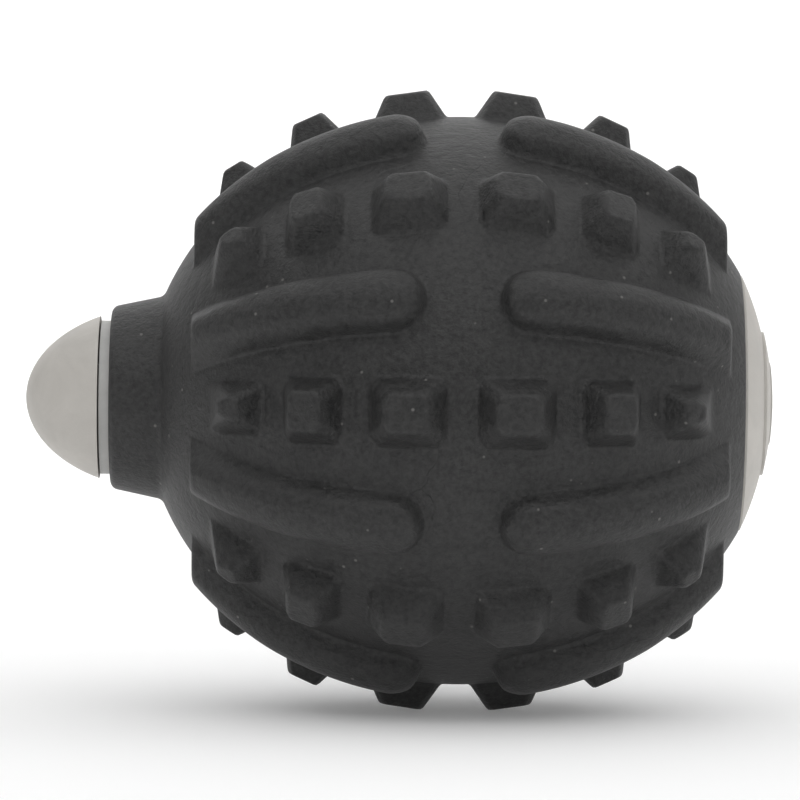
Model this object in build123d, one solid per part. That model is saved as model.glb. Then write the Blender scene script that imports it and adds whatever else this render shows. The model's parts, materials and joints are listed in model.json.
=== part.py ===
from build123d import *
from math import asin, atan2, cos, degrees, radians, sin, sqrt, tan
import os

# Vibrating trigger-point massage ball. Millimetres.
# The parts are drawn about the centre of the rubber body: X is the long axis, the massage tip
# points to -X, the end cap to +X, and Z is up. They are moved to the part frame when written.

# Rubber body: an ellipsoid with a conical neck at the tip end
body_half_length = 50.6
body_radius = 45.5
sleeve_wall = 3.6
neck_reach = 4.95          # neck face beyond the end of the ellipsoid
neck_face_radius = 14.55
neck_draft = 12.0           # degrees
neck_edge_radius = 1.3
neck_root_radius = 1.6
bond_gap = 0.1              # glue line between the rubber and the core

# Raised pattern on the rubber: rows of studs, and bars half a pitch between them
row_count = 8
feature_root = 1.6          # how deep a feature is rooted in the wall
bar_start = 5.4             # from the middle of the body to the round end of a bar
bar_stop_gap = 2.688        # from the flat end of each bar to the cap
bar_width = 10.3
bar_crest_width = 6.6
bar_height = 4.2
bar_edge_radius = 2.2
bar_overrun = 8             # degrees the bar runs on before its end is cut flat
bar_sink = 0.8              # how much lower a bar stands at its flat end

# Studs of half a row, from the middle outwards. x is the stud's place along the long axis, the
# lengths run along the row, shift moves the top along it, and corner is the bevel of the corners.
inner_stud = dict(x=8.1, length=12.6, top_length=6.9, shift=0.0, width=11.2, top_width=5.8)
middle_stud = dict(x=22.5, length=10.6, top_length=5.2, shift=0.0, width=10.4, top_width=6.3)
outer_stud = dict(x=34.8, length=10.4, top_length=3.3, shift=-1.6, width=8.6, top_width=3.1)
stud_height = 4.35
inner_corner = 0.8
inner_edge = 0.5
outer_corner = 0.5
outer_edge = 0.3

# Core: a hard clamshell inside the rubber
shell_wall = 2.5
neck_wall = 2.35            # rubber around the core's nose, at the face of the neck
nose_wall = 2.4
collar_inset = 3.7          # from the edge of the cap's opening to the core's collar
collar_wall = 2.4
lip_height = 1.5
lip_thickness = 1.2
lip_clearance = 0.1
lip_reach = 31.0            # half the length of the lip
nose_plug = 2.0             # wall that closes the nose
shell_boss_radius = 3.3
shell_boss_angles = [50, 90, 130]
shell_boss_inset = 4.2
shell_screw_length = 14.0
shell_screw_seat = 6.0      # plastic under the head of each shell screw
shell_boss_end = 2.0        # boss above the end of each shell screw

# Massage tip and the hard ring that carries it
tip_ring_step = 0.1         # how far the ring stands out from the core's nose
tip_ring_thickness = 1.6
tip_ring_spigot = 9.8       # length of the spigot inside the nose
tip_spigot_wall = 3.2
tip_gap = 0.25
tip_height = 11.85
tip_axial_radius = 22.7     # half axis of the tip's ellipse along X
tip_side_radius = 14.8
tip_wall = 2.6
tip_boss_radius = 5.2
insert_radius = 3.0
insert_length = 7.0
nose_rib_depth = 1.0
nose_rib_width = 1.8
nose_rib_inset = 3.4        # from the end of the nose to the rib
o_ring_section = 1.2
o_ring_inset = 1.0          # from the ring's face to the groove
o_ring_gap = 0.01

# End cap
cap_opening_radius = 21.0   # outer edge of the rubber around the cap
cap_reveal = 0.55
cap_rim_edge = 0.4
cap_rise = 4.6
cap_web_thickness = 1.8
cap_recess_floor = 1.15     # floor of the bezel recess beyond the rubber's end
gasket_thickness = 0.8
screw_circle = 9.5
cap_screw_angles = [45, 135, 225, 315]
cap_screw_length = 8.0

# Bezel disc and power button
bezel_radius = 11.5
bezel_gap = 0.1
bezel_lift = 0.4
button_radius = 6.6
button_lift = 0.15
button_clearance = 0.15
button_flange = 0.55
button_flange_thickness = 0.8
button_shoulder = 1.5       # shoulder in the bezel above the recess floor
button_travel = 0.6
flange_gap = 0.05           # between the button's flange and its stop
button_stem_radius = 2.4
stem_hole_radius = 3.0

# Control board and what is on it
board_gap = 1.3             # around the board, inside the collar
board_thickness = 1.6
board_drop = 4.0            # from the cap's web to the board
board_post_radius = 1.9
board_post_inset = 2.6      # from the board's edge to its screws
board_post_angles = [180, 270]
switch_size = 6.0
switch_height = 3.5
socket_floor = 1.0          # of the switch's and the jack's hollows
plunger_radius = 1.6
plunger_height = 1.5
plunger_clearance = 0.1
plunger_gap = 0.2           # under the plunger when it is pressed
jack_radius = 2.2
jack_bore = 1.35            # takes the 2.5 mm barrel of the charger's plug
jack_pin_radius = 0.35
jack_angle = 0
pipe_radius = 1.0
pipe_angle = 90
pipe_gap = 0.2              # between the lamp and the light pipe
led_radius = 0.9
led_height = 1.5
chip_height = 1.2
driver_size = (5.0, 4.0)
driver_z = 9.2
charger_size = (3.0, 4.4)
charger_y = 9.1
coil_radius = 1.6
coil_height = 1.8
coil_z = -6.8

# Bulkhead that closes the board's chamber
bulkhead_thickness = 1.5
bulkhead_space = 2.5        # behind the board, for chips and solder
wire_hole_radius = 5.0
cap_boss_radius = 2.3

# Chassis plate on posts in the lower shell
plate_length = 62.0
plate_side = 4.8            # from the mount screws to the plate's long edges
plate_thickness = 2.0
plate_corner = 6.0
plate_boss_gap = 0.5        # around any shell boss that the plate's edge would reach
post_radius = 3.2
post_inset = 5.0            # from the plate's edges to each screw
plate_screw_depth = 9.0     # pilot holes in the posts
clamp_boss_depth = 4.0      # bosses under the plate
clamp_boss_radius = 2.6
mount_boss_height = 3.0     # bosses on top of the plate
mount_boss_radius = 2.8

# Battery: one 18500 cell in a cradle on top of the plate
cell_radius = 9.15
cell_length = 49.8
cell_x = -5.0
cradle_floor = 1.2
cradle_clearance = 0.2
cradle_height = 8.0
cradle_foot = 2.0           # thickness of the screw tabs
cradle_wall = 1.05
cradle_end = 1.6
clamp_x = 0.0
clamp_width = 8.0
clamp_thickness = 1.0
clamp_screw_gap = 0.9       # between the clamp's arch and a screw head
clamp_foot_reach = 3.2
tab_thickness = 0.3
tab_width = 6.0
tab_reach = 4.0             # above and below the cell's axis
cell_edge = 0.8
cell_pole_radius = 4.1
cell_pole_height = 1.0

# Motor under the plate, shaft towards the tip
motor_radius = 12.2
motor_length = 30.8
motor_front = -12.0
motor_headroom = 2.4        # between the motor and the underside of the plate
can_wall = 1.0
bell_thickness = 2.5
motor_boss_radius = 3.5
motor_boss_length = 1.7
shaft_radius = 1.0
shaft_clearance = 0.03
magnet_thickness = 2.6
magnet_length = 17.0
magnet_inset = 3.0          # from the can's end wall
magnet_gap = 6.0            # between the two magnets
air_gap = 0.5
armature_length = 14.0
armature_inset = 4.0
slot_count = 6
slot_width = 1.4
slot_floor = 4.0            # from the axis to the floor of each slot
commutator_radius = 2.6
commutator_length = 4.0
commutator_gap = 0.6        # from the end bell
brush_gap = 0.1
brush_inset = 0.4
brush_length = 3.2
brush_height = 2.4
bush_radius = 2.5
terminal_y = 6.5
terminal_thickness = 0.8
terminal_height = 3.0
terminal_depth = 3.0        # inside the end bell
terminal_reach = 2.5
shaft_front = 0.5           # beyond the weight
shaft_back = 0.8            # beyond the end bell
weight_radius = 10.0
weight_hub_radius = 3.4
weight_length = 12.0
weight_gap = 2.6            # from the bracket to the weight
grub_radius = 1.0
grub_socket_radius = 0.5
bracket_thickness = 1.5
bracket_reach = 9.5
bracket_drop = 11.0         # below the motor's axis
bracket_side = 3.0          # beyond the mount screws
motor_screw_y = 8.0
mount_screw_gap = 0.4       # between the strap and a screw head
strap_x = 11.0
strap_width = 7.0
pad_thickness = 0.8

# Screws: radius of the thread, then of the head, and the head's height
m2 = (1.0, 1.8, 1.1)
m25 = (1.25, 2.3, 1.6)
m3 = (1.5, 2.8, 2.0)
m4 = (2.0, 3.6, 2.4)
screw_clearance = 0.2
thread_end = 1.0            # hole beyond the end of a screw
drive_depth = 0.9
drive_share = 0.55          # radius of the drive over the radius of the thread
flat_drive_depth = 0.6

# Wires
wire_radius = 0.65
wire_side = 2.25            # from the middle to each wire, where they pass the bulkhead
motor_wire_z = -2.5
cell_wire_z = 3.1
wire_run = 1.5              # straight run in front of the bulkhead
motor_wire_start = 7.0      # straight run at each end
cell_wire_start = 5.5
side_wire_gap = 2.8         # from the clamp to the middle of the wire beside it
lead_turn_gap = 3.14        # from the cradle to the middle of the wire that passes behind it
bend_share = 0.45           # of the shorter run beside each corner, taken up by its arc

# Values worked out from the ones above
cavity_half_length = body_half_length - sleeve_wall
cavity_radius = body_radius - sleeve_wall
core_half_length = cavity_half_length - bond_gap
core_radius = cavity_radius - bond_gap
room_half_length = core_half_length - shell_wall
far = 2 * body_half_length
room_radius = core_radius - shell_wall
nose_radius = neck_face_radius - neck_wall
nose_bore = nose_radius - nose_wall
tip_ring_radius = nose_radius + tip_ring_step
collar_radius = cap_opening_radius - collar_inset
collar_bore = collar_radius - collar_wall
board_radius = collar_bore - board_gap
board_post_circle = board_radius - board_post_inset

neck_x = -(body_half_length + neck_reach)
cap_x = body_half_length * sqrt(1 - (cap_opening_radius / body_radius) ** 2)
bar_stop = cap_x - bar_stop_gap
cap_radius = cap_opening_radius - cap_reveal
cap_dome_x = cap_x + cap_rim_edge
dome_radius = (cap_radius ** 2 + cap_rise ** 2) / (2 * cap_rise)
dome_centre = cap_dome_x + cap_rise - dome_radius
recess_x = cap_x + cap_recess_floor
web_x = recess_x - cap_web_thickness
board_x = web_x - board_drop
board_back = board_x - board_thickness
bulkhead_x = board_back - bulkhead_space
collar_end = cap_x - gasket_thickness
cap_top = cap_x + 2 * cap_rise

plate_top = plate_thickness
cradle_side = cell_radius + cradle_clearance + cradle_wall
clamp_screw_y = cradle_side + clamp_thickness + m25[1] + clamp_screw_gap
cell_z = plate_top + cradle_floor + cradle_clearance + cell_radius
cell_front = cell_x - cell_length / 2
cell_back = cell_x + cell_length / 2
pocket_front = cell_front - tab_thickness - cradle_clearance
pocket_back = cell_back + tab_thickness + cradle_clearance
motor_z = -(motor_radius + motor_headroom)
mount_screw_y = motor_radius + pad_thickness + bracket_thickness + m25[1] + mount_screw_gap
plate_width = 2 * (mount_screw_y + plate_side)
motor_back = motor_front + motor_length
bracket_front = motor_front - bracket_thickness
weight_back = bracket_front - weight_gap
weight_front = weight_back - weight_length
magnet_radius = motor_radius - can_wall - magnet_thickness
armature_radius = magnet_radius - air_gap


# Basic shapes

def rod_x(x0, x1, radius, y=0, z=0):
    """Round rod along X."""
    return extrude(Plane.YZ.offset(x0) * Pos(y, z) * Circle(radius), x1 - x0)


def rod_z(z0, z1, radius, x=0, y=0):
    """Round rod along Z."""
    return extrude(Plane.XY.offset(z0) * Pos(x, y) * Circle(radius), z1 - z0)


def block(x0, x1, y0, y1, z0, z1):
    """Box between two corners."""
    middle = Pos((x0 + x1) / 2, (y0 + y1) / 2, (z0 + z1) / 2)
    return middle * Box(x1 - x0, y1 - y0, z1 - z0)


def half_ellipse(half_length, radius):
    """Half of an ellipse, on the side of positive radius, in (x, radius) coordinates."""
    arc = EllipticalCenterArc((0, 0), half_length, radius, start_angle=0, arc_size=180)
    return make_face(arc + Line((-half_length, 0), (half_length, 0)))


def band(x0, x1, r0, r1):
    """Rectangle in (x, radius) coordinates."""
    return Pos((x0 + x1) / 2, (r0 + r1) / 2) * Rectangle(x1 - x0, r1 - r0)


def spun(profile):
    """Solid of revolution about X of a face in (x, radius) coordinates."""
    return revolve(Plane.XZ * profile, Axis.X)


def ellipsoid(half_length, radius):
    """Ellipsoid of revolution about X."""
    return spun(half_ellipse(half_length, radius))


def group(solids):
    """Separate solids in one node."""
    return Part() + solids


def polar(radius, angle):
    """(y, z) of a point on a circle about X, from +Y towards +Z."""
    return radius * cos(radians(angle)), radius * sin(radians(angle))


def screw(size, length):
    """Pan-head screw with the underside of its head at the origin, pointing to -Z."""
    radius, head_radius, head_height = size
    head = fillet(rod_z(0, head_height, head_radius).edges().sort_by(Axis.Z)[-1], head_height / 2)
    slot = rod_z(head_height - drive_depth, head_height, radius * drive_share)
    return head + rod_z(-length, 0, radius) - slot


def flat_screw(size, length):
    """Countersunk screw with the top of its head at the origin, pointing to -Z."""
    radius, head_radius, head_height = size
    cone = Pos(0, 0, -head_height / 2) * Cone(radius, head_radius, head_height)
    drive = rod_z(-flat_drive_depth, 0, radius * drive_share)
    return cone + rod_z(-length, -head_height, radius) - drive


# Rubber body

def surface_height(x):
    """Radius of the rubber body at x."""
    return body_radius * sqrt(1 - (x / body_half_length) ** 2)


def surface_plane(x):
    """Plane on the top of the rubber body at x: local X along the surface, local Z outwards."""
    height = surface_height(x)
    lean = atan2(body_radius ** 2 * x, body_half_length ** 2 * height)
    x_direction = (cos(lean), 0, -sin(lean))
    return Plane(origin=(x, 0, height), x_dir=x_direction, z_dir=(sin(lean), 0, cos(lean)))


def tapered(base, top, height):
    """Outline of a wall that tapers from base to top, each a (from, to) pair, with its root."""
    slope_in = (top[0] - base[0]) / height
    slope_out = (top[1] - base[1]) / height
    root_in = base[0] - slope_in * feature_root
    root_out = base[1] - slope_out * feature_root
    corners = [(root_in, -feature_root), (root_out, -feature_root), (top[1], height), (top[0], height)]
    return make_face(Polyline(*corners, close=True))


def stud(corner, edge, x, length, top_length, shift, width, top_width):
    """Drafted stud with bevelled corners and a rounded top edge, standing on the surface at x."""
    along_top = (shift - top_length / 2, shift + top_length / 2)
    along = tapered((-length / 2, length / 2), along_top, stud_height)
    across = tapered((-width / 2, width / 2), (-top_width / 2, top_width / 2), stud_height)
    prism_along = extrude(Plane.XZ * along, width, both=True)
    prism_across = extrude(Plane.YZ * across, length, both=True)
    solid = prism_along & prism_across
    slanting = [e for e in solid.edges() if abs((e @ 1 - e @ 0).Z) > stud_height / 2]
    solid = chamfer(slanting, corner)
    solid = fillet(solid.faces().sort_by(Axis.Z)[-1].edges(), edge)
    return surface_plane(x) * solid


def stud_trio():
    """The three studs of a row on the cap's side of the middle."""
    inner = stud(inner_corner, inner_edge, **inner_stud)
    middle = stud(inner_corner, inner_edge, **middle_stud)
    outer = stud(outer_corner, outer_edge, **outer_stud)
    return [inner, middle, outer]


def bar():
    """Rounded bar along a meridian, from a round end near the middle to a flat end at the cap."""
    start_x = bar_start + bar_width / 2
    middle_x = (start_x + bar_stop) / 2
    places = ((start_x, 0), (middle_x, bar_sink / 4), (bar_stop, bar_sink))
    points = [(x, 0, surface_height(x) - sink) for x, sink in places]
    arc = ThreePointArc(*points)
    half_base = bar_width / 2
    half_crest = bar_crest_width / 2
    section = tapered((-half_base, half_base), (-half_crest, half_crest), bar_height)
    crest = section.vertices().sort_by(Axis.Y)[-2:]
    section = fillet(crest, bar_edge_radius)
    outward = (Vector(*points[0]) - arc.arc_center).normalized()
    seat = Plane(origin=points[0], x_dir=(0, 1, 0), z_dir=Vector(0, 1, 0).cross(outward))
    swing = degrees(2 * asin((arc @ 1 - arc @ 0).length / (2 * arc.radius))) + bar_overrun
    run = revolve(seat * section, Axis(arc.arc_center, (0, 1, 0)), swing)
    half_section = section & Pos(half_base, 0) * Rectangle(bar_width, 4 * bar_height)
    end = revolve(seat * half_section, Axis(points[0], outward), 360)
    beyond = block(bar_stop, body_half_length, -body_radius, body_radius, 0, 2 * body_radius)
    return run + end - beyond


def around(solids, first_angle):
    """Copies of the solids in every row, on both sides of the middle."""
    pair = solids + [mirror(s, Plane.YZ) for s in solids]
    pitch = 360 / row_count
    return [Rot(X=first_angle + row * pitch) * s for row in range(row_count) for s in pair]


def rubber_sleeve():
    """Rubber skin with its neck, studs and bars."""
    root_x = -room_half_length
    root_radius = neck_face_radius + (root_x - neck_x) * tan(radians(neck_draft))
    neck = [(neck_x, 0), (neck_x, neck_face_radius), (root_x, root_radius), (root_x, 0)]
    profile = half_ellipse(body_half_length, body_radius) + make_face(Polyline(*neck, close=True))
    profile -= half_ellipse(cavity_half_length, cavity_radius)
    profile -= band(neck_x - 1, 0, 0, nose_radius)
    profile -= band(0, cap_x, 0, collar_radius)
    profile -= band(cap_x, 2 * cap_x, 0, body_radius)
    outer = profile.vertices().filter_by(lambda v: v.X < root_x and v.Y > nose_radius + bond_gap)
    profile = fillet(outer.sort_by(Axis.X)[0], neck_edge_radius)
    outer = profile.vertices().filter_by(lambda v: v.X < root_x and v.Y > nose_radius + bond_gap)
    profile = fillet(outer.sort_by(Axis.X)[-1], neck_root_radius)
    return spun(profile) + around(stud_trio(), 0) + around([bar()], 180 / row_count)


# Core shell

def shell_boss_places():
    """(x, y) of the screws that join the two shells."""
    reach_x = room_half_length - shell_boss_inset
    reach_y = room_radius - shell_boss_inset
    one_side = [(reach_x * cos(radians(a)), reach_y * sin(radians(a))) for a in shell_boss_angles]
    return one_side + [(x, -y) for x, y in one_side]


def post_places():
    """(x, y) of the screws that hold the chassis plate."""
    x = plate_length / 2 - post_inset
    y = plate_width / 2 - post_inset
    return [(sx * x, sy * y) for sx in (-1, 1) for sy in (-1, 1)]


def core():
    """Both shells in one, before they are parted."""
    outside = ellipsoid(core_half_length, core_radius)
    outside += rod_x(neck_x, -room_half_length / 2, nose_radius)
    outside += rod_x(room_half_length / 2, collar_end, collar_radius)
    room = ellipsoid(room_half_length, room_radius)
    body = outside - room
    body += rod_x(bulkhead_x - bulkhead_thickness, collar_end, collar_radius)
    body += rod_x(-room_half_length, -room_half_length + nose_plug, nose_radius)
    body -= block(collar_end, 2 * cap_x, -cap_x, cap_x, -cap_x, cap_x)
    body -= rod_x(bulkhead_x, cap_x, collar_bore)
    body -= rod_x(neck_x, -room_half_length + nose_plug, nose_bore)
    rib_x = neck_x + nose_rib_inset
    rib = rod_x(rib_x, rib_x + nose_rib_width, nose_radius)
    body += rib - rod_x(neck_x, 0, nose_bore - nose_rib_depth)
    body -= rod_x(bulkhead_x - bulkhead_thickness, cap_x, wire_hole_radius)
    for angle in cap_screw_angles:
        y, z = polar(screw_circle, angle)
        body += rod_x(bulkhead_x - bulkhead_thickness, web_x, cap_boss_radius, y, z)
        body -= rod_x(bulkhead_x, web_x, m2[0], y, z)
    return body, outside


def seam_lip(clearance):
    """Band along the seam, inside the wall, that locates one shell in the other."""
    thickness = lip_thickness + clearance
    band = ellipsoid(room_half_length + thickness, room_radius + thickness)
    band -= ellipsoid(room_half_length, room_radius)
    reach = lip_reach + clearance
    return band & block(-reach, reach, -core_radius, core_radius, 0, lip_height + clearance)


def core_shell_lower(body, outside):
    """Lower shell: chassis posts, screw holes with deep head pockets, and the locating lip."""
    posts = [rod_z(-core_radius, 0, post_radius, x, y) for x, y in post_places()]
    bosses = [rod_z(-core_radius, 0, shell_boss_radius, x, y) for x, y in shell_boss_places()]
    below = block(-far, far, -far, far, -far, 0)
    shell = (body & below) + [p & outside for p in posts + bosses]
    for x, y in post_places():
        shell -= rod_z(-plate_screw_depth, 0, m3[0], x, y)
    for x, y in shell_boss_places():
        shell -= rod_z(-core_radius, 0, m3[0] + screw_clearance, x, y)
        shell -= rod_z(-core_radius, -shell_screw_seat, m3[1] + screw_clearance, x, y)
    return shell + seam_lip(0)


def core_shell_upper(body, outside):
    """Upper shell: the bosses that the shell screws bite into."""
    above = block(-far, far, -far, far, 0, far)
    bite = shell_screw_length - shell_screw_seat
    boss_top = bite + shell_boss_end
    bosses = [rod_z(0, boss_top, shell_boss_radius, x, y) for x, y in shell_boss_places()]
    columns = [rod_z(0, core_radius, shell_boss_radius, x, y) & outside for x, y in shell_boss_places()]
    shell = (body & above) + bosses + columns
    for x, y in shell_boss_places():
        shell -= rod_z(0, bite, m3[0], x, y)
    return shell - seam_lip(lip_clearance)


def shell_screws():
    """Screws from below that pull the two shells together."""
    upward = Pos(0, 0, -shell_screw_seat) * Rot(X=180) * screw(m3, shell_screw_length)
    return group([Pos(x, y, 0) * upward for x, y in shell_boss_places()])


# Massage tip

def tip_mount():
    """Hard ring at the end of the neck, with a spigot that the two shells grip."""
    face = neck_x - tip_ring_thickness
    spigot_radius = nose_bore - bond_gap
    back = neck_x + tip_ring_spigot
    body = rod_x(face, neck_x, tip_ring_radius) + rod_x(neck_x, back, spigot_radius)
    body -= rod_x(neck_x, back, spigot_radius - tip_spigot_wall)
    body -= rod_x(face, neck_x, m4[0] + screw_clearance)
    rib_x = neck_x + nose_rib_inset
    groove = rod_x(rib_x - bond_gap, rib_x + nose_rib_width + bond_gap, nose_radius)
    body -= groove - rod_x(neck_x, back, nose_bore - nose_rib_depth - bond_gap)
    seal_x = neck_x + o_ring_inset
    seal = rod_x(seal_x, seal_x + o_ring_section + bond_gap, nose_radius)
    return body - (seal - rod_x(neck_x, back, nose_bore - o_ring_section))


def neck_o_ring():
    """Seal between the spigot and the nose."""
    section = o_ring_section / 2 - o_ring_gap
    middle = Pos(neck_x + o_ring_inset + o_ring_section / 2 + bond_gap / 2, 0, 0)
    return middle * Rot(Y=90) * Torus(nose_bore - o_ring_section / 2, section)


def tip_dome():
    """Hollow domed tip with a boss for its threaded insert."""
    face = neck_x - tip_ring_thickness
    base = face - tip_gap
    centre = base - tip_height + tip_axial_radius
    keep = block(base - far, base, -far, far, -far, far)
    outer = Pos(centre, 0, 0) * ellipsoid(tip_axial_radius, tip_side_radius)
    inner = Pos(centre, 0, 0) * ellipsoid(tip_axial_radius - tip_wall, tip_side_radius - tip_wall)
    boss = rod_x(base - tip_height, base, tip_boss_radius) & inner
    boss += rod_x(base, face, tip_boss_radius)
    boss &= block(base - tip_height, face, -far, far, -far, far)
    body = (outer & keep) - (inner & keep) + boss
    return body - rod_x(face - insert_length, face, insert_radius)


def tip_insert():
    """Threaded brass insert in the tip's boss."""
    face = neck_x - tip_ring_thickness
    body = rod_x(face - insert_length, face, insert_radius)
    return body - rod_x(face - insert_length, face, m4[0])


def tip_screw():
    """Screw through the ring into the tip's insert."""
    length = tip_ring_thickness + insert_length
    return Pos(neck_x, 0, 0) * Rot(Y=90) * screw(m4, length)


# End cap, bezel and button

def domed(x0, x1, r0, r1, lift):
    """Profile between two radii, from x0 up to the cap's domed face raised by lift."""
    return band(x0, x1, r0, r1) & (Pos(dome_centre, 0) * Circle(dome_radius + lift))


def end_cap():
    """Domed cap with the bezel's recess, a plug in the collar and posts for the board."""
    profile = domed(cap_x, cap_top, 0, cap_radius, 0)
    profile += band(web_x, cap_x, 0, collar_bore - 2 * bond_gap)
    profile -= band(recess_x, cap_top, 0, bezel_radius + bezel_gap)
    profile -= band(web_x, recess_x, 0, stem_hole_radius)
    body = spun(profile)
    for angle in board_post_angles:
        y, z = polar(board_post_circle, angle)
        body += rod_x(board_x, web_x, board_post_radius, y, z)
        body -= rod_x(board_x, web_x, m2[0], y, z)
    for angle in cap_screw_angles:
        y, z = polar(screw_circle, angle)
        body -= rod_x(web_x, recess_x, m2[0] + screw_clearance, y, z)
        radius = m2[1] + screw_clearance
        cone = Cone(m2[0] + screw_clearance, radius, m2[2])
        body -= Pos(recess_x - m2[2] / 2, y, z) * Rot(Y=90) * cone
    for radius, angle in ((jack_radius + bezel_gap, jack_angle), (pipe_radius, pipe_angle)):
        body -= rod_x(web_x, recess_x, radius, *polar(screw_circle, angle))
    return body


def cap_gasket():
    """Flat seal between the cap and the core's collar."""
    ring = rod_x(collar_end, cap_x, collar_radius - bond_gap)
    return ring - rod_x(collar_end, cap_x, collar_bore)


def cap_screws():
    """Countersunk screws under the bezel that hold the cap to the bulkhead's bosses."""
    one = Rot(Y=90) * flat_screw(m2, cap_screw_length)
    places = [polar(screw_circle, angle) for angle in cap_screw_angles]
    return group([Pos(recess_x, y, z) * one for y, z in places])


def button_bezel():
    """Domed disc that covers the screws and guides the button."""
    profile = domed(recess_x, cap_top, button_radius + button_clearance, bezel_radius, bezel_lift)
    pocket = button_radius + button_flange + 2 * button_clearance
    profile -= band(recess_x, recess_x + button_shoulder, 0, pocket)
    body = spun(profile)
    for radius, angle in ((jack_bore, jack_angle), (pipe_radius + bond_gap, pipe_angle)):
        body -= rod_x(recess_x - 1, cap_top, radius, *polar(screw_circle, angle))
    return body


def power_button():
    """Domed push button with a retaining flange and a stem down to the switch."""
    flange_top = recess_x + button_shoulder - flange_gap
    flange_base = flange_top - button_flange_thickness
    profile = domed(flange_base, cap_top, 0, button_radius, bezel_lift + button_lift)
    profile += band(flange_base, flange_top, 0, button_radius + button_flange)
    profile += band(board_x + switch_height + plunger_height, flange_base, 0, button_stem_radius)
    return spun(profile)


# Control board

def control_board():
    """Round circuit board, with holes for the cap's bosses and posts."""
    body = rod_x(board_back, board_x, board_radius)
    boss_hole = cap_boss_radius + 2 * screw_clearance
    for angle in cap_screw_angles:
        body -= rod_x(board_back, board_x, boss_hole, *polar(screw_circle, angle))
    for angle in board_post_angles:
        body -= rod_x(board_back, board_x, m2[0] + screw_clearance, *polar(board_post_circle, angle))
    return body


def board_screws():
    """Screws that hold the board to the cap's posts."""
    one = Rot(Y=-90) * screw(m2, board_thickness + board_drop - thread_end)
    places = [polar(board_post_circle, angle) for angle in board_post_angles]
    return group([Pos(board_back, y, z) * one for y, z in places])


def switch_housing():
    """Push switch on the board, hollow for its plunger."""
    half = switch_size / 2
    body = block(board_x, board_x + switch_height, -half, half, -half, half)
    hollow = plunger_radius + plunger_clearance
    return body - rod_x(board_x + socket_floor, board_x + switch_height, hollow)


def switch_plunger():
    """Plunger that the button's stem pushes into the switch."""
    base = board_x + socket_floor + plunger_gap + button_travel
    return rod_x(base, board_x + switch_height + plunger_height, plunger_radius)


def charging_jack():
    """Barrel jack on the board, open towards the bezel's hole."""
    y, z = polar(screw_circle, jack_angle)
    body = rod_x(board_x, recess_x, jack_radius, y, z)
    return body - rod_x(board_x + socket_floor, recess_x, jack_bore, y, z)


def jack_pin():
    """Centre contact of the charging jack."""
    y, z = polar(screw_circle, jack_angle)
    return rod_x(board_x + socket_floor, recess_x, jack_pin_radius, y, z)


def status_led():
    """Charge lamp on the board."""
    y, z = polar(screw_circle, pipe_angle)
    return rod_x(board_x, board_x + led_height, led_radius, y, z)


def light_pipe():
    """Clear rod that brings the lamp's light to the bezel."""
    y, z = polar(screw_circle, pipe_angle)
    rod = rod_x(board_x + led_height + pipe_gap, cap_top, pipe_radius, y, z)
    return rod & spun(domed(board_x, cap_top, 0, bezel_radius, bezel_lift))


def board_chips():
    """Motor driver and charger on the back of the board."""
    back = board_back - chip_height
    middle = (back + board_back) / 2
    driver = Pos(middle, 0, driver_z) * Box(chip_height, *driver_size)
    charger = Pos(middle, charger_y, 0) * Box(chip_height, *charger_size)
    coil = rod_x(board_back - coil_height, board_back, coil_radius, 0, coil_z)
    return group([driver, charger, coil])


# Chassis and battery

def chassis_plate():
    """Plate across the middle of the shell, with bosses for the battery and motor screws."""
    outline = RectangleRounded(plate_length, plate_width, plate_corner)
    body = extrude(outline, plate_thickness)
    for x, y in shell_boss_places():
        body -= rod_z(0, plate_thickness, shell_boss_radius + plate_boss_gap, x, y)
    for x, y in post_places():
        body -= rod_z(0, plate_thickness, m3[0] + screw_clearance, x, y)
    for y in (-clamp_screw_y, clamp_screw_y):
        body += rod_z(-clamp_boss_depth, 0, clamp_boss_radius, clamp_x, y)
        body -= rod_z(-clamp_boss_depth, plate_thickness, m25[0], clamp_x, y)
    for x, y in mount_screw_places():
        body += rod_z(plate_thickness, plate_thickness + mount_boss_height, mount_boss_radius, x, y)
        body -= rod_z(0, plate_thickness + mount_boss_height, m25[0], x, y)
    return body


def chassis_screws():
    """Screws that hold the plate to the posts of the lower shell."""
    one = Pos(0, 0, plate_top) * screw(m3, plate_thickness + plate_screw_depth - thread_end)
    return group([Pos(x, y, 0) * one for x, y in post_places()])


def battery_cradle():
    """Trough for the cell, with a screw tab on each side."""
    half = cradle_side
    top = plate_top + cradle_height
    front = pocket_front - cradle_end
    back = pocket_back + cradle_end
    body = block(front, back, -half, half, plate_top, top)
    body -= rod_x(pocket_front, pocket_back, cell_radius + cradle_clearance, 0, cell_z)
    notch = tab_width / 2 + cradle_clearance
    body -= block(front, back, -notch, notch, cell_z - tab_reach - cradle_clearance, top)
    reach = clamp_screw_y + clamp_foot_reach
    foot_front = clamp_x - clamp_width / 2
    foot_back = clamp_x + clamp_width / 2
    foot_top = plate_top + cradle_foot
    body += block(foot_front, foot_back, half, reach, plate_top, foot_top)
    body += block(foot_front, foot_back, -reach, -half, plate_top, foot_top)
    for y in (-clamp_screw_y, clamp_screw_y):
        body -= rod_z(plate_top, foot_top, m25[0] + screw_clearance, clamp_x, y)
    return body


def battery_cell():
    """Rechargeable 18500 cell with its raised positive end."""
    pole = cell_back - cell_pole_height
    body = rod_x(cell_front, pole, cell_radius, 0, cell_z)
    body = fillet(body.edges().filter_by(GeomType.CIRCLE), cell_edge)
    return body + rod_x(pole, cell_back, cell_pole_radius, 0, cell_z)


def cell_tabs():
    """Nickel strips welded to the ends of the cell."""
    half = tab_width / 2
    low = cell_z - tab_reach
    high = cell_z + tab_reach
    front = block(cell_front - tab_thickness, cell_front, -half, half, low, high)
    back = block(cell_back, cell_back + tab_thickness, -half, half, low, high)
    return group([front, back])


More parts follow.
